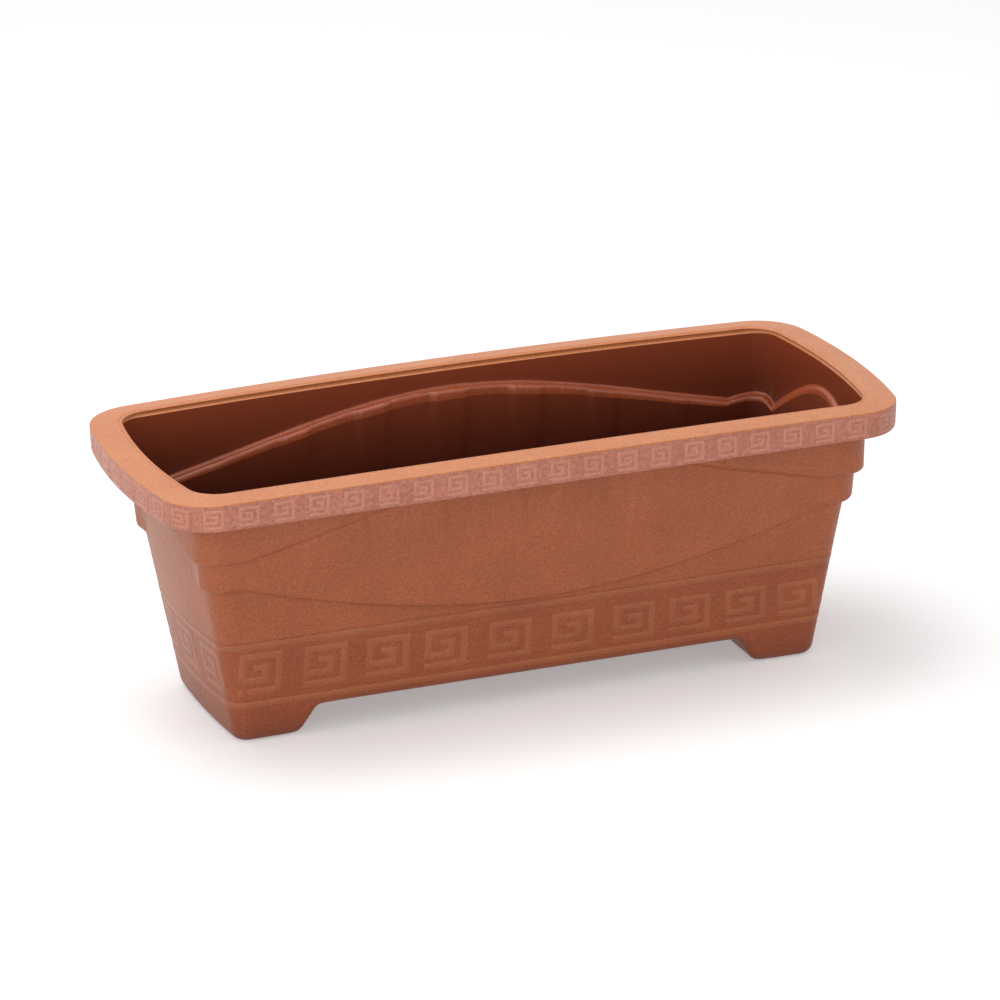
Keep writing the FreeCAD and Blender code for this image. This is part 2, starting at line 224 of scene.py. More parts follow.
def step_line(size, inset, heights, eases, corner_fall, corner_rise):
    """Height of a step line over the loop's stations. On a side or an end it is part circle,
    through both cusps and the middle, and part squared cosine, which eases it into the cusps:
    height = corner + rise ((1 - ease) circle + ease cos^2). Round the corner it is a low hump
    between the side's cusp and the end's, which lies lower."""
    corner_z, side_z, end_z = heights
    x, y = outline(U, SX, SY, size, inset)
    x, y = np.abs(x), np.abs(y)
    turn_x, turn_y = outline(np.full_like(U, 1.5), 1, 1, size, inset)
    on_side = U >= 1.5
    along = np.where(on_side, x, y)
    cusp = np.where(on_side, CUSP_SIDE_X, CUSP_END_Y)
    rise = np.where(on_side, side_z, end_z) - corner_z
    radius = (cusp ** 2 + rise ** 2) / (2 * np.abs(rise))
    inside = np.minimum(along, cusp)
    circle = (np.sqrt(radius ** 2 - inside ** 2) - radius + np.abs(rise)) / np.abs(rise)
    cosine = np.cos(np.pi / 2 * inside / cusp) ** 2
    past_cusp = np.where(on_side, (x - CUSP_SIDE_X) / (turn_x - CUSP_SIDE_X),
                         2 - (y - CUSP_END_Y) / (turn_y - CUSP_END_Y))
    round_corner = np.clip(past_cusp / 2, 0, 1)
    level = corner_z - corner_fall * smooth_step(round_corner)
    hump = corner_rise * np.sin(np.pi * round_corner)
    rise = np.where(on_side, rise, rise + corner_fall)
    ease = np.where(on_side, eases[0], eases[1])
    return level + hump + rise * ((1 - ease) * circle + ease * cosine)


def step_lines(inset, corners):
    """Heights of the swag and the arch. The wall is one thickness, so inside both lie higher, by
    half the inset where the round ledge hides the rest."""
    at_swag = body_size(np.full_like(U, SWAG_CORNER_Z))
    at_arch = lens_size(np.full_like(U, ARCH_CORNER_Z))
    swag = step_line(at_swag, inset, (SWAG_CORNER_Z - corners["settle"], SWAG_SIDE_Z, SWAG_END_Z),
                     SWAG_EASE, 0.0, 0.0)
    arch = step_line(at_arch, inset, (ARCH_CORNER_Z - corners["settle"], ARCH_SIDE_Z, ARCH_END_Z),
                     (ARCH_SIDE_EASE, corners["end_ease"]), corners["fall"], corners["hump"])
    return swag + inset / 2, arch + inset / 2


for name, line in zip(("swag", "arch"), step_lines(0.0, CORNERS_OUTSIDE)):
    print(name, "runs from", round(line.min(), 1), "to", round(line.max(), 1), "mm")

# %% [markdown]
# Two things vary along the middle tier. Along the sides it is pleated like cloth: shallow flutes
# fall from the arch and die out above the swag. They narrow downwards, and because the wall is
# one thickness, each shows as a rib inside. On the ends the tier fades out, and the body runs
# straight up to the arch. Sculpting could do both, but a depth written over x and z gives seven
# equal pleats a side.

# %% The pleats and the fading ends
PLEAT_PITCH = 63.5
PLEAT_WIDTHS = (28.0, 25.0, 23.0, 14.0)
PLEAT_SHARES = (1.0, 0.95, 0.8, 0.45)
PLEAT_DEPTH = 2.6
PLEAT_TOP_Z = 190.0
PLEAT_END_Z = 98.0
PLEAT_NARROWING = 0.45
PLEAT_EDGE = 6.0
LENS_END_FULL_Y = 77.0
LENS_END_GONE_Y = 60.0


def pleat_depth(x, z):
    """How far the skin is pressed in: a flat-bottomed flute about each pleat's centre line, whose
    depth and width both shrink from its top to its lower end."""
    fall = smooth_step((z - PLEAT_END_Z) / (PLEAT_TOP_Z - PLEAT_END_Z))
    depth = np.zeros_like(x)
    count = len(PLEAT_WIDTHS)
    for index in range(1 - count, count):
        half = PLEAT_WIDTHS[abs(index)] / 2 * (PLEAT_NARROWING + (1 - PLEAT_NARROWING) * fall)
        aside = half - np.abs(x - index * PLEAT_PITCH)
        pressed = PLEAT_DEPTH * PLEAT_SHARES[abs(index)] * fall
        depth = np.maximum(depth, pressed * smooth_step(aside / PLEAT_EDGE + 0.5))
    return depth


def lens_share(u, y):
    """How much of the middle tier there is: all of it along the sides and round the corners, and
    none across the middle of an end."""
    fading = smooth_step((np.abs(y) - LENS_END_GONE_Y) / (LENS_END_FULL_Y - LENS_END_GONE_Y))
    return np.where(u >= 1, 1.0, fading)


print("pleats on a side:", 2 * len(PLEAT_WIDTHS) - 1, "as deep as", PLEAT_DEPTH, "mm")

# %% [markdown]
# A small helper turns grids of millimetres into a Blender mesh. Rows run up the wall and columns
# run round it; the last column joins the first, so there is no seam. The cooled moulding has
# sunk a little towards its ends, as long boxes do when they shrink. A lattice could bend the
# finished object, but here each piece is bent as it is made, so that all of them stay in touch.

# %% From grids to meshes
CROWN = 3.74
WELD = 1e-6


def crowned(points):
    """The rim of the cooled moulding sinks towards its ends: z falls with x squared, and hardly at
    all low on the wall, because it goes with the fourth power of height."""
    out = points.copy()
    sink = CROWN * (points[..., 0] / RIM_HALF_LENGTH) ** 2 * (points[..., 2] / HEIGHT) ** 4
    out[..., 2] = points[..., 2] - sink
    return out


def make_piece(name, points, faces):
    """Mesh object at the origin, from points in millimetres and quads, on the planter's body."""
    mesh = bpy.data.meshes.new(name)
    mesh.from_pydata((crowned(points) * MM).tolist(), [], faces.tolist())
    mesh.polygons.foreach_set("use_smooth", np.full(len(mesh.polygons), True))
    mesh.update()
    piece = bpy.data.objects.new(name, mesh)
    bpy.context.scene.collection.objects.link(piece)
    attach(piece, "planter")
    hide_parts("planter_box")
    print(name, len(mesh.vertices), "points", len(mesh.polygons), "faces")
    return piece


def grid_faces(rows, columns, closed=True):
    """Quads between the neighbouring rows and columns of a grid; closed, the columns wrap round."""
    r, c = np.meshgrid(np.arange(rows - 1), np.arange(columns if closed else columns - 1), indexing="ij")
    here = r * columns + c
    beside = r * columns + (c + 1) % columns
    return np.stack([here, beside, beside + columns, here + columns], axis=-1).reshape(-1, 4)


def weld(piece):
    """Joins the points that a grid lays twice, as along the middle line of the underside."""
    work = bmesh.new()
    work.from_mesh(piece.data)
    bmesh.ops.remove_doubles(work, verts=work.verts, dist=WELD)
    bmesh.ops.dissolve_degenerate(work, dist=WELD / 10, edges=work.edges)
    work.to_mesh(piece.data)
    work.free()
    print(piece.name, "welded to", len(piece.data.vertices), "points")


# %% [markdown]
# The outer skin starts on the line along the middle of the underside, runs out to the edge, rolls
# up round the sole and climbs the three tiers. Along x the underside has the profile of a low
# bridge: feet on the ground, then a slant up to the raised floor. A Boolean could cut that
# tunnel, but as a height over x it leaves clean quads and soft corners.

# %% The underside
BELLY_Z = 22.0
FOOT_INNER_X = 184.5
BELLY_INNER_X = 169.5
FOOT_MIDDLE_X = 200.0
FLOOR = 3.0
FOOT_FILLET = 5.0
BELLY_FILLET = 4.0
UNDERSIDE_ROWS = 10


def soft_max(a, b, soft):
    """Larger of two heights, with the kink between them rounded over about soft:
    (a + b + sqrt((a - b)^2 + soft^2)) / 2."""
    return (a + b + np.sqrt((a - b) ** 2 + soft ** 2)) / 2


def bridge(x, floor):
    """Height of the bottom over x: the slant between foot and belly, softly limited below by the
    ground and above by the belly. The inner side lies one floor higher and wider."""
    slope = BELLY_Z / (FOOT_INNER_X - BELLY_INNER_X)
    widen = floor * math.sqrt(1 + slope ** 2) / slope
    slant = slope * (FOOT_INNER_X + widen - np.abs(x))
    low = soft_max(slant, floor, FOOT_FILLET)
    return -soft_max(-low, -(BELLY_Z + floor), BELLY_FILLET)


def underside_points(edge):
    """Rows from the middle line out to the first row of a skin. Points beside the raised floor
    keep their x; points round a foot draw in to the foot's middle."""
    middle_x = np.clip(edge[:, 0], -FOOT_MIDDLE_X, FOOT_MIDDLE_X)
    share = np.linspace(0, 1, UNDERSIDE_ROWS, endpoint=False)[:, None]
    x = middle_x + (edge[:, 0] - middle_x) * share
    y = edge[:, 1] * share
    z = np.broadcast_to(edge[:, 2], x.shape)
    return np.stack([x, y, z], axis=-1)


print("floor of the tunnel:", round(float(bridge(0.0, 0.0)), 1), "mm above the ground")

# %% [markdown]
# A skin is a stack of rows. Each row has a height at every station, how far it lies inside the
# outline, and how much of the middle and the top tier it belongs to. The same two functions make
# the outer and the inner skin, and only the inset, the floor and the profile of the steps differ.
# Solidify would thicken an outer skin in one click, but it can't round the ledges otherwise
# inside than outside, as the plastic does where it flows round the core.

# %% Rows and points of a skin
RIM_FALL = 1.7
RIM_THICKNESS = 2.8
FLANGE_UNDER_Z = HEIGHT - RIM_FALL - RIM_THICKNESS


def shell_rows(inset, floor, sole_round, step_profile, corners, counts):
    """Rows of one skin, each as z, inset, lens share and valance share. Heights between the sole,
    the two steps and the flange are evenly shared out, and a step's rows follow its profile."""
    foot, wall, lens, valance = counts
    base_x, _ = outline(U, SX, SY, body_size(np.zeros_like(U)), inset)
    swag, arch = step_lines(inset, corners)
    lowest = bridge(base_x, floor)
    rows = []
    for angle in np.linspace(0, np.pi / 2, foot):
        rows.append((lowest + sole_round * (1 - np.cos(angle)),
                     inset + sole_round * (1 - np.sin(angle)), 0.0, 0.0))
    start = lowest + sole_round
    step_low, step_top = step_profile[0][1], step_profile[-1][1]
    for share in np.linspace(0, 1, wall + 1)[1:-1]:
        rows.append((start + (swag + step_low - start) * share, inset, 0.0, 0.0))
    for out, up in step_profile:
        rows.append((swag + up, inset, out, 0.0))
    for share in np.linspace(0, 1, lens + 1)[1:-1]:
        rows.append((swag + step_top + (arch + step_low - swag - step_top) * share, inset, 1.0, 0.0))
    for out, up in step_profile:
        rows.append((arch + up, inset, 1.0, out))
    for share in np.linspace(0, 1, valance + 1)[1:]:
        rows.append((arch + step_top + (FLANGE_UNDER_Z - arch - step_top) * share, inset, 1.0, 1.0))
    return rows


def shell_points(rows):
    """Positions of all rows: the body outline, moved towards the lens and then the valance
    outline by their shares, and pressed in by the pleats where the lens tier shows."""
    z, inset, lens, valance = (np.stack([np.broadcast_to(row[i], U.shape) for row in rows]) for i in range(4))
    u, sx, sy = (np.broadcast_to(a, z.shape) for a in (U, SX, SY))
    bx, by = outline(u, sx, sy, body_size(z), inset)
    lx, ly = outline(u, sx, sy, lens_size(z), inset)
    vx, vy = outline(u, sx, sy, valance_size(z), inset)
    share = lens_share(u, ly)
    lx, ly = bx + share * (lx - bx), by + share * (ly - by)
    x = bx + lens * (lx - bx) + valance * (vx - lx)
    y = by + lens * (ly - by) + valance * (vy - ly)
    pleat = pleat_depth(x, z) * lens * (1 - valance) * (u >= 2)
    y = y - sy * pleat
    return np.stack([x, y, z], axis=-1)


print("underside of the flange at", round(FLANGE_UNDER_Z, 1), "mm")

# %% [markdown]
# The raised floor has two drain holes. The faces over them are left out of both skins, and a
# turned collar closes the gap later on. Cutting true circles into a grid of quads makes slivers,
# and a collar that overlaps the cut hides a ragged edge.

# %% Leaving the drains open
DRAIN_X = 95.0
DRAIN_RADIUS = 7.0
COLLAR_RADIUS = 16.0
COLLAR_OVERLAP = 3.5
LEVEL_REACH = 3.0


def clear_drains(points, faces, level):
    """Faces of a grid without those that lie over the drain holes, near one level."""
    middle = points[faces].mean(axis=1)
    near = np.hypot(np.abs(middle[:, 0]) - DRAIN_X, middle[:, 1]) < COLLAR_RADIUS - COLLAR_OVERLAP
    at_level = np.abs(middle[:, 2] - level) < LEVEL_REACH
    return faces[~(near & at_level)]


print("drains", 2 * DRAIN_RADIUS, "mm wide at x", -DRAIN_X, "and", DRAIN_X)

# %% [markdown]
# Outside, each step is a short upright crease and then a quarter round, which is what makes the
# photograph's steps read as soft, thick lips. A Bevel modifier would need marked edges on a
# curved line; a profile carried along the line gives the same round everywhere.

# %% The outer skin
SOLE_ROUND = 6.5
STEP_CREASE = 0.9
STEP_ROUND = 5.0
OUTER_ROWS = (8, 26, 24, 8)


def rounded_step(crease, radius, steps):
    """Profile of a step as (share of the step's reach, height): a short upright crease, and then
    a quarter round, (sin a, crease + radius (1 - cos a)), which ends on the upper tier's skin."""
    angles = np.linspace(0, np.pi / 2, steps)
    return [(0.0, 0.0)] + [(math.sin(a), crease + radius * (1 - math.cos(a))) for a in angles]


outer_step = rounded_step(STEP_CREASE, STEP_ROUND, 9)
wall_points = shell_points(shell_rows(0.0, 0.0, SOLE_ROUND, outer_step, CORNERS_OUTSIDE, OUTER_ROWS))
grid = np.concatenate([underside_points(wall_points[0]), wall_points])
points = grid.reshape(-1, 3)
faces = clear_drains(points, grid_faces(*grid.shape[:2]), BELLY_Z)
outer_skin = make_piece("outer_skin", points, faces)
weld(outer_skin)

# %% [markdown]
# The inner skin is the same surface one wall thickness in, with its faces turned round. Its
# ledges are the outer steps seen from behind: a convex round, the flat and a small fillet. The
# ledge under the arch faces the light from above all round the box, so its faces get a paler
# colour of their own, a painted highlight.

# %% The inner skin
LEDGE_ROUND = 2.5
LEDGE_FILLET = 2.0
INNER_ROWS = (6, 22, 22, 6)


def inner_ledge(reach, edge_round, foot_round, steps):
    """Profile of a ledge seen from inside as (share of the reach, height): two quarter rounds, one
    convex that ends on the flat and one concave that leaves it."""
    angles = np.linspace(0, np.pi / 2, steps)
    profile = [(edge_round * (1 - math.cos(a)) / reach, edge_round * (math.sin(a) - 1)) for a in angles]
    profile += [((reach - foot_round + foot_round * math.sin(a)) / reach, foot_round * (1 - math.cos(a)))
                for a in angles]
    return profile


ledge = inner_ledge(LENS_STEP, LEDGE_ROUND, LEDGE_FILLET, 6)
wall_points = shell_points(shell_rows(WALL, FLOOR, SOLE_ROUND - WALL, ledge, CORNERS_INSIDE, INNER_ROWS))
grid = np.concatenate([underside_points(wall_points[0]), wall_points])
points = grid.reshape(-1, 3)
faces = clear_drains(points, grid_faces(*grid.shape[:2])[:, ::-1], BELLY_Z + FLOOR)
inner_skin = make_piece("inner_skin", points, faces)

# Faces of the arched ledge, which get the painted highlight
face_row = faces.min(axis=1) // grid.shape[1]
foot_rows, body_rows, lens_rows, _ = INNER_ROWS
first_ledge_row = UNDERSIDE_ROWS + foot_rows + (body_rows - 1) + len(ledge) + (lens_rows - 1)
on_ledge = (face_row >= first_ledge_row - 1) & (face_row < first_ledge_row + len(ledge) - 1)
inner_skin.data.polygons.foreach_set("material_index", on_ledge.astype(int))
weld(inner_skin)
print("faces on the arched ledge:", int(on_ledge.sum()))

# %% [markdown]
# Where a drain hole goes through the floor, the moulding has a flat collar round it. It is a
# turned profile: six corners carried round a circle, with the hole's two edges bevelled, since a
# sharp moulded edge would catch the plug.

# %% Drain collars
COLLAR_PROUD = 0.05
COLLAR_BEVEL = 0.4
COLLAR_COLUMNS = 48


def collar(x):
    """Ring through the floor: each corner of the profile turned about the hole's axis, so its
    points are (x + r cos a, r sin a, z)."""
    low, high = BELLY_Z - COLLAR_PROUD, BELLY_Z + FLOOR + COLLAR_PROUD
    bevelled = DRAIN_RADIUS + COLLAR_BEVEL
    profile = np.array([(COLLAR_RADIUS, low), (bevelled, low), (DRAIN_RADIUS, low + COLLAR_BEVEL),
                        (DRAIN_RADIUS, high - COLLAR_BEVEL), (bevelled, high), (COLLAR_RADIUS, high)])
    angle = np.linspace(0, 2 * np.pi, COLLAR_COLUMNS, endpoint=False)
    radius = profile[:, 0:1]
    return np.stack([x + radius * np.cos(angle), radius * np.sin(angle),
                     np.broadcast_to(profile[:, 1:2], (len(profile), COLLAR_COLUMNS))], axis=-1)


def twin_faces(grids):
    """Faces of two equal closed grids, stacked in one array."""
    one = grid_faces(*grids.shape[1:3])
    return np.concatenate([one, one + grids.shape[1] * grids.shape[2]])


collars = np.stack([collar(-DRAIN_X), collar(DRAIN_X)])
drain_collars = make_piece("drain_collars", collars.reshape(-1, 3), twin_faces(collars))

# %% [markdown]
# The rim is one section carried round two outlines at once. From the top of the wall it runs out
# under the flange, down inside the skirt, round its lower edge, up the outside, over the rounded
# edge and back along the flange to the mouth, where a shallow groove and a small bead step down
# into the throat. A curve with a bevel profile can't do it, because the rim's and the mouth's
# outlines aren't parallel.

# %% The rim's section
RIM_CORNER = 40.0
RIM_END_BOW = 14.5
RIM_SIDE_BOW = 5.7
RIM_SIZE = (RIM_HALF_LENGTH, RIM_HALF_WIDTH, RIM_CORNER, RIM_END_BOW, RIM_SIDE_BOW)
RIM_EDGE_Z = HEIGHT - RIM_FALL
EDGE_ROUND = 1.0
EDGE_LIFT = 0.1
SHOULDER_POINTS = 7
SKIRT_DEPTH = 23.7
SKIRT_THICKNESS = 2.4
SKIRT_DRAFT = 1.0
MOUTH_END_MARGIN = 21.2
MOUTH_SIDE_MARGIN = 18.4
MOUTH_CORNER = 27.4
MOUTH_END_BOW = 11.2
MOUTH_SIZE = (RIM_HALF_LENGTH - MOUTH_END_MARGIN, RIM_HALF_WIDTH - MOUTH_SIDE_MARGIN, MOUTH_CORNER,
              MOUTH_END_BOW, MOUTH_SIDE_BOW)
GROOVE = [(-1.0, 0.0), (-0.4, 0.1), (0.0, 0.6), (0.3, 0.7)]
BEAD_WIDTH = 3.4
BEAD_ROLL = BEAD_WIDTH / 2 - 0.1
BEAD_DROP = 0.3
THROAT_DROP = 3.6


def arc_points(centre_inset, centre_z, radius, start, stop, steps):
    """Arc of the rim's section as (inset, z): (c - r cos a, c + r sin a), with a measured from
    straight out, upwards."""
    angle = np.radians(np.linspace(start, stop, steps))
    return [(centre_inset - radius * math.cos(a), centre_z + radius * math.sin(a)) for a in angle]


def skirt_section():
    """The section on the rim's outline, from under the flange to its outer shoulder."""
    half = SKIRT_THICKNESS / 2
    round_z = HEIGHT - SKIRT_DEPTH + half
    top_z = RIM_EDGE_Z - EDGE_ROUND
    inside = [(SKIRT_THICKNESS + SKIRT_DRAFT * share, FLANGE_UNDER_Z + (round_z - FLANGE_UNDER_Z) * share)
              for share in (0.0, 0.5, 1.0)]
    lower_edge = arc_points(SKIRT_DRAFT + half, round_z, half, 180, 360, 9)
    outside = [(SKIRT_DRAFT * (1 - share), round_z + (top_z - round_z) * share)
               for share in np.linspace(0, 1, 7)[1:]]
    shoulder = arc_points(EDGE_ROUND, top_z + EDGE_LIFT, EDGE_ROUND, 0, 86, SHOULDER_POINTS + 1)[1:]
    return inside + lower_edge + outside + shoulder


def mouth_section():
    """The section on the mouth's outline: the groove, the rolled bead and the throat."""
    groove = [(inset, HEIGHT - drop) for inset, drop in GROOVE]
    bead = arc_points(BEAD_WIDTH - BEAD_ROLL, HEIGHT - BEAD_DROP - BEAD_ROLL, -BEAD_ROLL, 330, 180, 10)
    return groove + bead + [(BEAD_WIDTH, HEIGHT - THROAT_DROP)]


print("points in the rim's section:", len(skirt_section()) + len(mouth_section()))

# %% [markdown]
# The two halves of the section are laid on their outlines, and the flange between them is a
# blend of the two, row by row. The rim is one closed sheet that meets the wall's two skins at the
# flange's underside, as the real moulding does.

# %% The rim


def lines_on(size, section):
    """One row of points for each (inset, z) of a section, carried round an outline."""
    rows = []
    for inset, z in section:
        x, y = outline(U, SX, SY, size, inset)
        rows.append(np.stack([x, y, np.full(x.shape, z)], axis=-1))
    return rows


def rim_grid():
    """The rim's rows: the wall's top, the skirt's section, four rows across the flange that blend
    the two outlines, the mouth's section and the wall's inner top."""
    top = np.full(U.shape, FLANGE_UNDER_Z)
    wall_top, wall_inner_top = (np.stack([*outline(U, SX, SY, valance_size(top), inset), top], axis=-1)
                                for inset in (0.0, WALL))
    skirt = lines_on(RIM_SIZE, skirt_section())
    mouth = lines_on(MOUTH_SIZE, mouth_section())
    flange = [skirt[-1] * (1 - share) + mouth[0] * share for share in (0.2, 0.4, 0.6, 0.8)]
    return np.stack([wall_top] + skirt + flange + mouth + [wall_inner_top])


rim_lines = rim_grid()
rim = make_piece("rim", rim_lines.reshape(-1, 3), grid_faces(*rim_lines.shape[:2]))
in_row = np.arange(len(rim.data.polygons)) // rim_lines.shape[1]
on_skirt = (in_row >= 1) & (in_row < len(skirt_section()) - SHOULDER_POINTS)
print("faces on the skirt:", int(on_skirt.sum()))

# %% [markdown]
# The ornament is a meander: one bar that winds inwards. It is written once, as the bar's middle
# line in a unit square. A bar with bevelled shoulders is carried along it, and every copy is a
# shift and a scale of that template, laid on the curved wall. Array and Curve modifiers could
# repeat a modelled key, but they would stretch its bars at the corners of the box.

# %% The meander
KEY_PATH = np.array([(0.0, 0.08), (0.92, 0.08), (0.92, 0.92), (0.08, 0.92), (0.08, 0.35),
                     (0.62, 0.35), (0.62, 0.64), (0.33, 0.64)])
KEY_BAR = 0.16
KEY_BEVEL = 0.02
PIECES_PER_RUN = 4
RELIEF = 0.2
ROOT = -0.3


def key_template():
    """The bar as a grid: along the path, with mitred corners, and four points across. A mitre
    is the sum of the two side normals, scaled so that the bar keeps its width. The points of a
    run stay half a bar away from its corners, so that no two mitres cross."""
    lengths = np.linalg.norm(np.diff(KEY_PATH, axis=0), axis=1)
    runs = []
    for i, length in enumerate(lengths):
        clear = 0.6 * KEY_BAR / length
        shares = np.concatenate([[0.0], np.linspace(clear, 1 - clear, PIECES_PER_RUN)])[:, None]
        runs.append(KEY_PATH[i] * (1 - shares) + KEY_PATH[i + 1] * shares)
    path = np.concatenate(runs + [KEY_PATH[-1:]])
    step = np.diff(path, axis=0)
    step /= np.linalg.norm(step, axis=1, keepdims=True)
    normal = np.stack([-step[:, 1], step[:, 0]], axis=-1)
    before = np.concatenate([normal[:1], normal])
    after = np.concatenate([normal, normal[-1:]])
    mitre = (before + after) / (1 + (before * after).sum(axis=1, keepdims=True))
    across = np.array([0.5, 0.5 - KEY_BEVEL / KEY_BAR, KEY_BEVEL / KEY_BAR - 0.5, -0.5]) * KEY_BAR
    flat = path[:, None, :] + mitre[:, None, :] * across[None, :, None]
    height = np.broadcast_to(np.array([ROOT, 1.0, 1.0, ROOT]), flat.shape[:2])
    return flat, height


KEY_FLAT, KEY_HEIGHT = key_template()


def key_faces(copies):
    """Faces of many bars: the template's strips, and a cap at both ends of each bar."""
    along, across = KEY_HEIGHT.shape
    one = grid_faces(along, across, closed=False)
    caps = np.array([[3, 2, 1, 0], np.arange(across) + (along - 1) * across])
    one = np.concatenate([one, caps])
    return (one[None] + (np.arange(copies) * along * across)[:, None, None]).reshape(-1, 4)


print("one key has", KEY_HEIGHT.size, "points")

# %% [markdown]
# A key is placed by a length along the outline, as a craftsman would step it off with dividers.
# The outline's own stations aren't even, so its length is measured once on a fine polygon and
# looked up in both directions.

# %% Lengths along an outline
WAYS_ROUND = 12
FRONT_MIDDLE_WAY = 9


def walk(way):
    """Turns a way round the box, 0 to 12 and anticlockwise from the right-hand end, into u and
    the quadrant's signs."""
    way = np.mod(way, WAYS_ROUND)
    quadrant = np.floor(way / 3).astype(int)
    local = way - 3 * quadrant
    u = np.where(quadrant % 2 == 0, local, 3 - local)
    return u, np.where((quadrant == 0) | (quadrant == 3), 1, -1), np.where(quadrant < 2, 1, -1)


def way_table(size, count=4801):
    """Length along the outline for ways 0 to 12, measured on a fine polygon."""
    way = np.linspace(0, WAYS_ROUND, count)
    x, y = outline(*walk(np.minimum(way, WAYS_ROUND - 1e-9)), size)
    return way, np.concatenate([[0], np.cumsum(np.hypot(np.diff(x), np.diff(y)))])


print("length round the rim:", round(float(way_table(RIM_SIZE)[1][-1])), "mm")

# %% [markdown]
# The wall's keys stand in a band round the lowest tier: ten along each side and three on each
# end. The toolmaker's spacing isn't quite even, and the keys get slightly lower towards the
# right, so their places are kept as the photograph shows them, in millimetres from the middle.

# %% Keys on the wall
BAND_Z = 56.0
KEY_SIZE = 34.5
KEY_CENTRES = (-218.0, -166.8, -117.3, -70.8, -19.3, 31.8, 81.8, 127.8, 173.8, 217.5)
END_KEY_CENTRES = (-50.0, 0.0, 50.0)
FIRST_KEY_LOW = 39.0
FIRST_KEY_HIGH = 74.0
LOW_EDGE_SLOPE = 0.004
HIGH_EDGE_SLOPE = 0.019
SIDES = {"front": (FRONT_MIDDLE_WAY, KEY_CENTRES, 0), "back": (3, KEY_CENTRES, 0),
         "right": (0, END_KEY_CENTRES, 1), "left": (6, END_KEY_CENTRES, 1)}
BODY_WAY, BODY_LENGTH = way_table(body_size(BAND_Z))


def on_wall(start, s, z, lift, axis):
    """Point of the body tier at a length s from the middle of one side. The length is scaled
    with the outline, so that a bar stays upright on the drafted wall."""
    grown = body_size(np.full_like(s, BAND_Z))[axis] / body_size(z)[axis]
    origin = np.interp(start, BODY_WAY, BODY_LENGTH)
    way = np.interp(np.mod(origin + s * grown, BODY_LENGTH[-1]), BODY_LENGTH, BODY_WAY)
    x, y = outline(*walk(way), body_size(z), -lift)
    return np.stack([x, y, z], axis=-1)


def key_height(x):
    """Lower and upper edge of a key whose middle is at x: two straight lines that draw together."""
    past_first = x - KEY_CENTRES[0]
    return FIRST_KEY_LOW - LOW_EDGE_SLOPE * past_first, FIRST_KEY_HIGH - HIGH_EDGE_SLOPE * past_first


def wall_keys():
    """The template, shifted and scaled to each key's place: s = middle + (a - 1/2) size."""
    groups = []
    for start, centres, axis in SIDES.values():
        middle = np.array(centres)[:, None, None]
        low, high = key_height(middle if axis == 0 else np.full_like(middle, KEY_CENTRES[0]))
        s = middle + (KEY_FLAT[..., 0] - 0.5)[None] * KEY_SIZE
        z = low + KEY_FLAT[..., 1][None] * (high - low)
        groups.append(on_wall(start, s, z, KEY_HEIGHT[None] * RELIEF, axis).reshape(-1, 3))
    return np.concatenate(groups)


copies = sum(len(centres) for _, centres, _ in SIDES.values())
wall_relief = make_piece("wall_keys", wall_keys(), key_faces(copies))
print("keys on the wall:", copies)

# %% [markdown]
# Two flat lines frame the band of keys. They're as proud as the keys and have the same bevelled
# shoulders. They could be part of the skin, but as strips of their own they keep crisp edges
# without a denser skin.

# %% Lines above and below the keys
LOWER_LINE = (28.5, 33.5)
UPPER_LINE = (77.0, 82.3)
LINE_BEVEL = 0.5


def band_line(low, high):
    """A flat bar all round the body tier between two heights: four rows, the middle two lifted
    by the relief."""
    lines = []
    for z, height in ((low, ROOT), (low + LINE_BEVEL, 1.0), (high - LINE_BEVEL, 1.0), (high, ROOT)):
        level = np.full(U.shape, z)
        x, y = outline(U, SX, SY, body_size(level), -height * RELIEF)
        lines.append(np.stack([x, y, level], axis=-1))
    return np.stack(lines)


lines = np.stack([band_line(*LOWER_LINE), band_line(*UPPER_LINE)])
band_lines = make_piece("band_lines", lines.reshape(-1, 3), twin_faces(lines))

# %% [markdown]
# The skirt carries the same key, less than half as large. There the spacing is even all the way
# round, corners included, so the copies are counted out over the rim's whole length. The skirt
# leans, so each point is lifted from the skirt at its own height.

# %% Keys on the skirt of the rim
RIM_KEY_COUNT = 59
RIM_KEY_SIZE = 16.0
RIM_KEY_LOW = 192.6
RIM_KEY_FIRST_X = 5.0
KEY_STAND_OFF = 0.1
RIM_WAY, RIM_LENGTHS = way_table(RIM_SIZE)
RIM_KEY_PITCH = RIM_LENGTHS[-1] / RIM_KEY_COUNT


def skirt_keys():
    """Keys evenly spaced along the rim's outline, counted from near the middle of the front. A
    point stands off by the relief, but not past the rim's widest line."""
    first = np.interp(FRONT_MIDDLE_WAY, RIM_WAY, RIM_LENGTHS) + RIM_KEY_FIRST_X
    middle = (first + RIM_KEY_PITCH * np.arange(RIM_KEY_COUNT))[:, None, None]
    s = np.mod(middle + (KEY_FLAT[..., 0] - 0.5)[None] * RIM_KEY_SIZE, RIM_LENGTHS[-1])
    z = RIM_KEY_LOW + KEY_FLAT[..., 1][None] * RIM_KEY_SIZE + 0 * s
    draft = SKIRT_DRAFT * (RIM_EDGE_Z - z) / SKIRT_DEPTH
    lift = np.minimum(KEY_HEIGHT[None] * RELIEF, draft + KEY_STAND_OFF)
    x, y = outline(*walk(np.interp(s, RIM_LENGTHS, RIM_WAY)), RIM_SIZE, draft - lift)
    return np.stack([x, y, z], axis=-1).reshape(-1, 3)


skirt_relief = make_piece("skirt_keys", skirt_keys(), key_faces(RIM_KEY_COUNT))
print("rim keys every", round(RIM_KEY_PITCH, 1), "mm")

# %% [markdown]
# Finishes. The box is polypropylene coloured in the mass. One function makes linear colour from a
# hex value and one adds a node; everything else is said in the material's own function.

# %% Node helpers


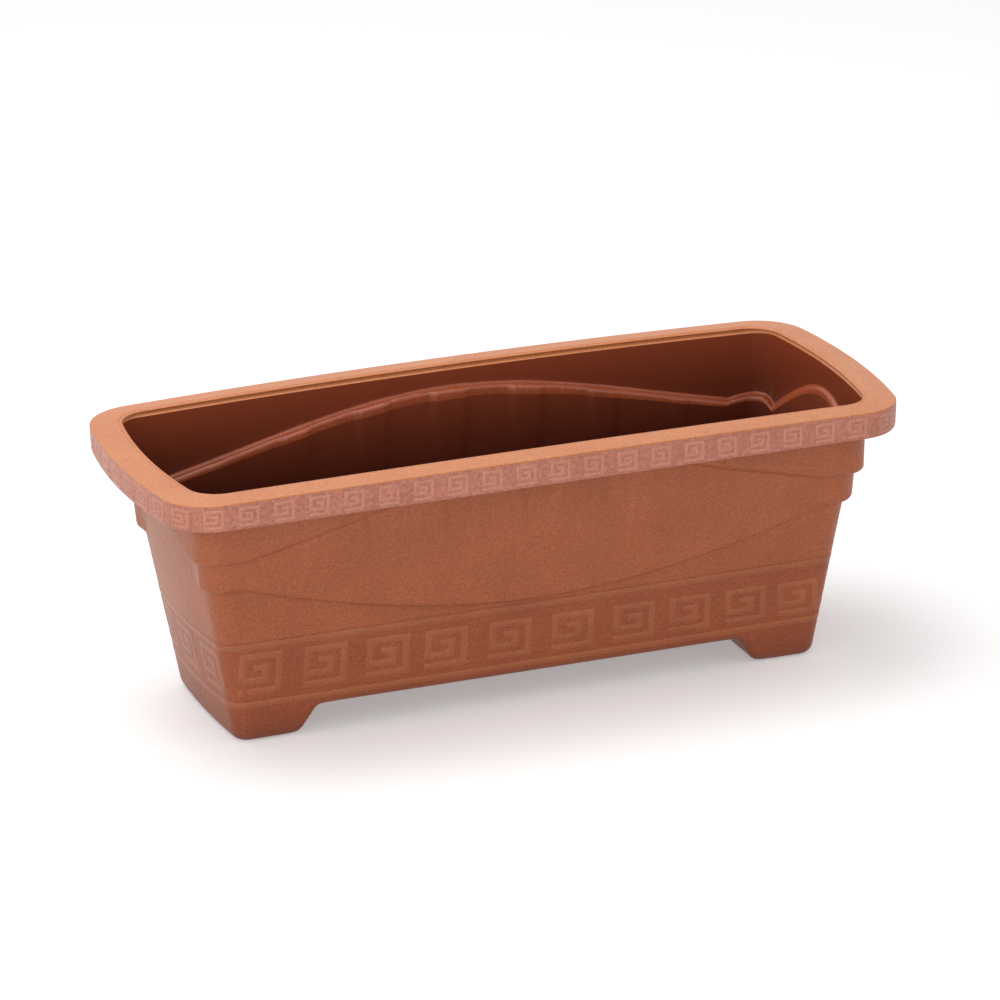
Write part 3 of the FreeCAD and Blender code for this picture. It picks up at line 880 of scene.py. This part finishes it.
def linear(hex_colour):
    """sRGB hex to linear RGBA: v / 12.92 for the darkest values, else ((v + 0.055) / 1.055)^2.4."""
    value = np.array([int(hex_colour[i:i + 2], 16) for i in (1, 3, 5)]) / 255
    line = np.where(value <= 0.04045, value / 12.92, ((value + 0.055) / 1.055) ** 2.4)
    return (*line.tolist(), 1.0)


def add(tree, kind, links=None, **settings):
    """Adds a node. Settings name its properties or its input sockets; links feed sockets."""
    node = tree.nodes.new(kind)
    for key, value in settings.items():
        if hasattr(node, key):
            setattr(node, key, value)
        else:
            node.inputs[key.replace("_", " ")].default_value = value
    for socket, source in (links or {}).items():
        tree.links.new(source, node.inputs[socket])
    return node


def new_material(name):
    """An empty material and its node tree."""
    material = bpy.data.materials.new(name)
    material.use_nodes = True
    material.node_tree.nodes.clear()
    return material, material.node_tree


print("terracotta in linear light:", [round(value, 3) for value in linear("#b46036")[:3]])

# %% [markdown]
# The mould was spark-eroded and etched, which prints two grains on the plastic: a fine one on the
# upper wall and a coarse, leathery one on the skirt and on the lowest tier, behind the keys. Grain
# this small could be painted as colour, but then it wouldn't sparkle, so it's a bump: light that
# grazes the left end catches single pebbles, as it does on the real box. Real pebbles are under a
# millimetre wide, which is about a pixel here, so both grains are drawn two to three times as
# coarse as they are and deeper, just enough to show.

# %% Grain


def pebbles(tree, place, size_mm):
    """Height of a fine pebbled grain, 0 to 1: noise whose first octave is one pebble wide."""
    return add(tree, "ShaderNodeTexNoise", {"Vector": place}, Scale=1 / (size_mm * MM), Detail=2.0,
               Roughness=0.55).outputs["Fac"]


def leather(tree, place, size_mm):
    """Height of a coarse leathery grain: worm-like ridges where a noise crosses its middle value,
    at the distance |noise - 0.5| from it."""
    noise = add(tree, "ShaderNodeTexNoise", {"Vector": place}, Scale=1 / (size_mm * MM), Detail=1.0,
                Roughness=0.4, Distortion=0.6).outputs["Fac"]
    away = add(tree, "ShaderNodeMath", {0: noise}, operation="SUBTRACT")
    away.inputs[1].default_value = 0.5
    ridge = add(tree, "ShaderNodeMath", {0: away.outputs[0]}, operation="ABSOLUTE")
    return add(tree, "ShaderNodeMapRange", {"Value": ridge.outputs[0]}, interpolation_type="SMOOTHSTEP",
               From_Max=0.18, To_Min=1.0, To_Max=0.0).outputs["Result"]


print("noise scale of a 2 mm pebble:", round(1 / (2 * MM)), "per metre")

# %% [markdown]
# Plastic coloured in the mass is never quite even: the pigment drifts by a shade over a few
# centimetres. The grain's tips get a painted highlight and its pits a painted shade. Vertex colours
# could carry that, but two noises in Object coordinates do it at any distance.

# %% Colour in the mass and painted light on the grain
PIGMENT_PATCH_MM = 36.0


def drifting_colour(tree, place, light, dark):
    """Colour that drifts slowly between two tones, as pigment does in a moulding."""
    drift = add(tree, "ShaderNodeTexNoise", {"Vector": place}, Scale=1 / (PIGMENT_PATCH_MM * MM), Detail=3.0)
    colour = add(tree, "ShaderNodeValToRGB", {"Fac": drift.outputs["Fac"]})
    colour.color_ramp.elements[0].position = 0.35
    colour.color_ramp.elements[0].color = linear(dark)
    colour.color_ramp.elements[1].position = 0.65
    colour.color_ramp.elements[1].color = linear(light)
    return colour.outputs["Color"]


def speckled_painted_light(tree, place, colour, size_mm):
    """Painted shade and highlight: colour times 0.9 in the pits of the grain, rising to 1.16 on the
    pebbles' tips.
    """
    tips = add(tree, "ShaderNodeMapRange", {"Value": pebbles(tree, place, size_mm)}, From_Min=0.40,
               From_Max=0.62, To_Min=0.9, To_Max=1.16).outputs["Result"]
    return add(tree, "ShaderNodeVectorMath", {"Vector": colour, "Scale": tips}, operation="SCALE").outputs[0]


print("pigment drifts over", PIGMENT_PATCH_MM, "mm")

# %% [markdown]
# All of the box is one resin, so all finishes end in the same shader: a dielectric with the
# refractive index of polypropylene, and a bump whose depth is a real length.

# %% The resin
POLYPROPYLENE_IOR = 1.49


def plastic(tree, colour, height, depth_mm, roughness):
    """Polypropylene with a bump of the given depth."""
    bump = add(tree, "ShaderNodeBump", {"Height": height}, Strength=1.0, Distance=depth_mm * MM)
    shader = add(tree, "ShaderNodeBsdfPrincipled", {"Base Color": colour, "Normal": bump.outputs["Normal"]},
                 Roughness=roughness, IOR=POLYPROPYLENE_IOR)
    add(tree, "ShaderNodeOutputMaterial", {"Surface": shader.outputs["BSDF"]})


def etched_plastic(name, light, dark, roughness, size_mm, depth_mm, grain=pebbles):
    """One grain all over: its size sets the bump, and with it the painted highlight on the tips."""
    material, tree = new_material(name)
    place = add(tree, "ShaderNodeTexCoord").outputs["Object"]
    colour = speckled_painted_light(tree, place, drifting_colour(tree, place, light, dark), size_mm)
    plastic(tree, colour, grain(tree, place, size_mm), depth_mm, roughness)
    print(name, "grain", size_mm, "mm, depth", depth_mm, "mm")
    return material


# %% [markdown]
# The wall has both grains on one piece: pebbles above the band of keys, leather behind the keys
# and on the feet, where the ground is also a shade darker. Two pieces with a material each would
# show a seam, so one material changes over at the band's upper line. Over the feet a painted shade
# darkens the colour towards the ground, where little light reaches.

# %% Finish of the wall
GRAIN_BORDER_Z = 83.0
BORDER_BLEND = 1.0
WALL_PEBBLE_MM = 2.2
WALL_LEATHER_MM = 3.6
# Size of the painted highlight and shade speckle on the wall
WALL_SPECKLE_MM = 1.7
WALL_GRAIN_DEPTH_MM = 1.1
LEATHER_SHARE = 0.25
# Painted shade over the feet: the height where it starts, and the share of the colour left at the ground
FOOT_PAINTED_SHADE_TOP_Z = 36.0
FOOT_PAINTED_SHADE = 0.72


def two_grains(name, upper, lower, roughness):
    """Pebbles above a height and leather below it, with a colour for each, and a painted shade that
    darkens the feet linearly towards the ground."""
    material, tree = new_material(name)
    place = add(tree, "ShaderNodeTexCoord").outputs["Object"]
    height = add(tree, "ShaderNodeSeparateXYZ", {"Vector": place}).outputs["Z"]
    above = add(tree, "ShaderNodeMapRange", {"Value": height}, From_Min=(GRAIN_BORDER_Z - BORDER_BLEND) * MM,
                From_Max=(GRAIN_BORDER_Z + BORDER_BLEND) * MM).outputs["Result"]
    coarse = add(tree, "ShaderNodeMath", {0: leather(tree, place, WALL_LEATHER_MM)}, operation="MULTIPLY")
    coarse.inputs[1].default_value = LEATHER_SHARE
    grain = add(tree, "ShaderNodeMix", {"Factor": above, "A": coarse.outputs[0],
                                        "B": pebbles(tree, place, WALL_PEBBLE_MM)}, data_type="FLOAT")
    tone = add(tree, "ShaderNodeMix", {0: above, 6: drifting_colour(tree, place, *lower),
                                       7: drifting_colour(tree, place, *upper)}, data_type="RGBA")
    # Painted shade: the colour is scaled down linearly towards the ground over the feet
    share = add(tree, "ShaderNodeMapRange", {"Value": height}, From_Max=FOOT_PAINTED_SHADE_TOP_Z * MM,
                To_Min=FOOT_PAINTED_SHADE).outputs["Result"]
    shade = add(tree, "ShaderNodeVectorMath", {"Vector": tone.outputs[2], "Scale": share}, operation="SCALE")
    plastic(tree, speckled_painted_light(tree, place, shade.outputs[0], WALL_SPECKLE_MM), grain.outputs["Result"],
            WALL_GRAIN_DEPTH_MM, roughness)
    print(name, "grains", WALL_PEBBLE_MM, "and", WALL_LEATHER_MM, "mm")
    return material


# Terracotta polypropylene off an etched mould: matt, finely sandy, paler at grazing angles, and
# darkened over the feet by painted shade
wall_finish = two_grains("etched_polypropylene", ("#b46036", "#ac5a30"), ("#a9532b", "#a04d26"), 0.42)

# Polypropylene off polished parts of the same mould: the keys and lines look paler and smoother
wall_relief_finish = etched_plastic("smooth_polypropylene_keys", "#b0633a", "#a75c35",
                                    roughness=0.40, size_mm=1.2, depth_mm=0.06)

# %% [markdown]
# The rim's skirt is the most coarsely etched face of the box. Its colour is paler and pinker than
# the wall's, a painted sheen of the light it reflects, and its keys are smooth and carry the same
# painted sheen. The flange above it is satin: it faces the sky, and it is the brightest part of the
# box.

# %% Finishes of the rim

# Coarsely etched polypropylene with worm-like ridges; its pale pink tone is a painted sheen
skirt_finish_painted_sheen = etched_plastic("coarse_etched_polypropylene_painted_sheen", "#cd816b", "#c47962",
                              roughness=0.40, size_mm=3.2, depth_mm=0.32, grain=leather)

# Polypropylene off polished mould steel: the skirt's keys are smooth, and their paler tone is a painted sheen
skirt_relief_finish_painted_sheen = etched_plastic("smooth_polypropylene_rim_keys_painted_sheen", "#d88f76", "#d08870",
                                     roughness=0.45, size_mm=1.2, depth_mm=0.06)

# Satin polypropylene, blasted rather than etched: a soft broad highlight with a trace of grain
flange_finish = etched_plastic("satin_polypropylene_flange", "#cb7e4e", "#c67748",
                               roughness=0.42, size_mm=1.5, depth_mm=0.3)

# %% [markdown]
# Inside, the core of the mould was polished, so that the box slips off it. The plastic is glossier,
# and its colour is a painted shade of deep brown for the little light that gets in, paler near the
# mouth where more light reaches. The arched ledge, which faces up, gets a painted highlight as the
# brightest line inside, and the plugs are a darker batch of the same resin.

# %% Finishes inside
# Heights over which the painted shade inside gives way to the lighter tone at the mouth
PAINTED_SHADE_LOW_Z = 130.0
PAINTED_SHADE_HIGH_Z = 210.0


def painted_shade_plastic(name, at_mouth, deep, roughness):
    """Polished wall with painted shade that lightens towards the mouth: the tone runs from one to the
    other between two heights."""
    material, tree = new_material(name)
    place = add(tree, "ShaderNodeTexCoord").outputs["Object"]
    height = add(tree, "ShaderNodeSeparateXYZ", {"Vector": place}).outputs["Z"]
    near = add(tree, "ShaderNodeMapRange", {"Value": height}, From_Min=PAINTED_SHADE_LOW_Z * MM,
               From_Max=PAINTED_SHADE_HIGH_Z * MM).outputs["Result"]
    tone = add(tree, "ShaderNodeMix", {0: near}, data_type="RGBA")
    tone.inputs[6].default_value = linear(deep)
    tone.inputs[7].default_value = linear(at_mouth)
    plastic(tree, tone.outputs[2], pebbles(tree, place, 3.0), 0.03, roughness)
    print(name, "fades below", PAINTED_SHADE_HIGH_Z, "mm")
    return material


# Polished polypropylene: glossy and saturated, with soft reflections of the far wall; its dark tone
# is painted shade, lighter near the mouth
inner_finish_painted_shade = painted_shade_plastic("polished_polypropylene_inside_painted_shade", "#8c4126", "#58261b", 0.28)

# The same resin on the ledge, in a paler tone that is a painted highlight: one bright line round
# the inside
ledge_painted_highlight = etched_plastic("polypropylene_ledge_painted_highlight", "#a85431", "#9c4b2c",
                              roughness=0.3, size_mm=2.0, depth_mm=0.03)

# Moulded polypropylene of the plugs: brown, nearly smooth
plug_finish = etched_plastic("polypropylene_plug", "#7a3a28", "#703423",
                             roughness=0.4, size_mm=2.0, depth_mm=0.05)

# %% [markdown]
# Each piece gets its finishes in order. A piece that has two, as the rim and the inner skin do,
# says face by face which one is used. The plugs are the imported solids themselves, which need no
# skin, only a finish.

# %% Giving the finishes


def give(piece, *finishes):
    """Puts the finishes in the piece's slots, and keeps which face uses which."""
    index = np.zeros(len(piece.data.polygons), dtype=np.int32)
    piece.data.polygons.foreach_get("material_index", index)
    piece.data.materials.clear()
    for finish in finishes:
        piece.data.materials.append(finish)
    piece.data.polygons.foreach_set("material_index", np.minimum(index, len(finishes) - 1))


rim.data.polygons.foreach_set("material_index", on_skirt.astype(int))
give(rim, flange_finish, skirt_finish_painted_sheen)
give(outer_skin, wall_finish)
give(inner_skin, inner_finish_painted_shade, ledge_painted_highlight)
give(drain_collars, wall_finish)
give(wall_relief, wall_relief_finish)
give(band_lines, wall_relief_finish)
give(skirt_relief, skirt_relief_finish_painted_sheen)
for name in ("drain_plug_left", "drain_plug_right"):
    give(bpy.data.objects[name], plug_finish)
finished = [piece for piece in bpy.data.objects if piece.type == "MESH" and piece.data.materials]
print("pieces with a finish:", len(finished))

# %% [markdown]
# The stage is a sheet of white paper on the ground in a white room. A photographer burns such a
# background out with light, which would also bleach the box. Here the paper and the room are
# white only to the rays that the eye follows, and a plain grey to the light that they bounce, so
# that the box keeps its colours and the paper keeps its shadow.

# %% Floor
FLOOR_HALF = 6.0
FLOOR_GLOW = 0.28


def looked_at(tree):
    """One for the rays that the eye follows, straight, mirrored or through glass; else nought."""
    ray = add(tree, "ShaderNodeLightPath").outputs
    mirrored = add(tree, "ShaderNodeMath", {0: ray["Is Glossy Ray"], 1: ray["Is Transmission Ray"]},
                   operation="ADD")
    return add(tree, "ShaderNodeMath", {0: ray["Is Camera Ray"], 1: mirrored.outputs[0]}, operation="ADD",
               use_clamp=True).outputs[0]


floor_mesh = bpy.data.meshes.new("floor")
floor_mesh.from_pydata([(-FLOOR_HALF, -FLOOR_HALF, 0), (FLOOR_HALF, -FLOOR_HALF, 0),
                        (FLOOR_HALF, FLOOR_HALF, 0), (-FLOOR_HALF, FLOOR_HALF, 0)], [], [(0, 1, 2, 3)])
floor = bpy.data.objects.new("floor", floor_mesh)
bpy.context.scene.collection.objects.link(floor)

# Uncoated white paper: perfectly matt, with the shadow as its only feature
paper, tree = new_material("white_paper")
matte = add(tree, "ShaderNodeBsdfDiffuse", Color=linear("#f4f4f4"))
grey = add(tree, "ShaderNodeBsdfDiffuse", Color=linear("#b4b4b4"))
glow = add(tree, "ShaderNodeEmission", Color=(1, 1, 1, 1), Strength=FLOOR_GLOW)
lit = add(tree, "ShaderNodeAddShader", {0: matte.outputs[0], 1: glow.outputs[0]})
seen = add(tree, "ShaderNodeMixShader", {0: looked_at(tree), 1: grey.outputs[0], 2: lit.outputs[0]})
add(tree, "ShaderNodeOutputMaterial", {"Surface": seen.outputs[0]})
give(floor, paper)
print("floor", 2 * FLOOR_HALF, "m square")

# %% [markdown]
# The room's own light is half as strong as what the eye sees of it. It fills the shadows evenly,
# as the walls of a white studio do.

# %% World
ROOM_LIGHT = 0.55

world = bpy.data.worlds.new("white_room")
bpy.context.scene.world = world
world.use_nodes = True
world.node_tree.nodes.clear()
tree = world.node_tree
room = add(tree, "ShaderNodeBackground", Color=(1, 1, 1, 1), Strength=ROOM_LIGHT)
white = add(tree, "ShaderNodeBackground", Color=(1, 1, 1, 1), Strength=1.0)
mixed = add(tree, "ShaderNodeMixShader", {0: looked_at(tree), 1: room.outputs[0], 2: white.outputs[0]})
add(tree, "ShaderNodeOutputWorld", {"Surface": mixed.outputs[0]})
print("room light", ROOM_LIGHT)

# %% [markdown]
# Three soft boxes shape the box: a large one overhead, which brightens the flange and leaves the
# shadow under the belly, a small one on the left that grazes the skirt, and a wide one in front.
# Their power was set until the walls rendered at about the colour that is written for them.

# %% Lamps


def softbox(name, place, target, size, power):
    """Square lamp at a place, turned to a target; metres and watts."""
    lamp = bpy.data.lights.new(name, "AREA")
    lamp.shape = "SQUARE"
    lamp.size = size
    lamp.energy = power
    holder = bpy.data.objects.new(name, lamp)
    holder.location = place
    holder.rotation_euler = (Vector(target) - Vector(place)).to_track_quat("-Z", "Y").to_euler()
    bpy.context.scene.collection.objects.link(holder)
    print(name, power, "W")


softbox("overhead", place=(-0.4, 0.5, 2.2), target=(0, 0, 0.1), size=1.6, power=26)
softbox("left_graze", place=(-2.2, -0.2, 1.0), target=(-0.2, 0, 0.1), size=0.45, power=7)
softbox("front_fill", place=(-0.9, -3.0, 0.8), target=(0, 0, 0.1), size=1.0, power=22)

# %% [markdown]
# The camera stands where the photographer stood: about 21 degrees to the left of square on and 20
# degrees up, a long way off with a long lens. A Track To constraint would aim it, but the frame
# is tilted by a degree as well, so its turn is built from three unit vectors.

# %% Camera
CAMERA_PLACE = (-1616.17, -4268.70, 1790.48)
CAMERA_YAW = 0.3627
CAMERA_PITCH = 0.3476
CAMERA_ROLL = -0.0157
CAMERA_LENS = 229.65
CAMERA_SENSOR = 36.0
CAMERA_REACH = 50.0
forward = np.array([math.sin(CAMERA_YAW) * math.cos(CAMERA_PITCH),
                    math.cos(CAMERA_YAW) * math.cos(CAMERA_PITCH), -math.sin(CAMERA_PITCH)])
level = np.array([math.cos(CAMERA_YAW), -math.sin(CAMERA_YAW), 0.0])
upright = np.cross(level, forward)
right = math.cos(CAMERA_ROLL) * level + math.sin(CAMERA_ROLL) * upright
up = -math.sin(CAMERA_ROLL) * level + math.cos(CAMERA_ROLL) * upright
lens = bpy.data.cameras.new("camera")
lens.lens = CAMERA_LENS
lens.sensor_width = CAMERA_SENSOR
lens.clip_end = CAMERA_REACH
camera = bpy.data.objects.new("camera", lens)
turn = Matrix(np.stack([right, up, -forward], axis=1).tolist()).to_4x4()
camera.matrix_world = Matrix.Translation(Vector(CAMERA_PLACE) * MM) @ turn
bpy.context.scene.collection.objects.link(camera)
bpy.context.scene.camera = camera
bpy.context.scene.view_settings.view_transform = "Standard"
print("camera", round(float(np.linalg.norm(CAMERA_PLACE)) * MM, 2), "m away")
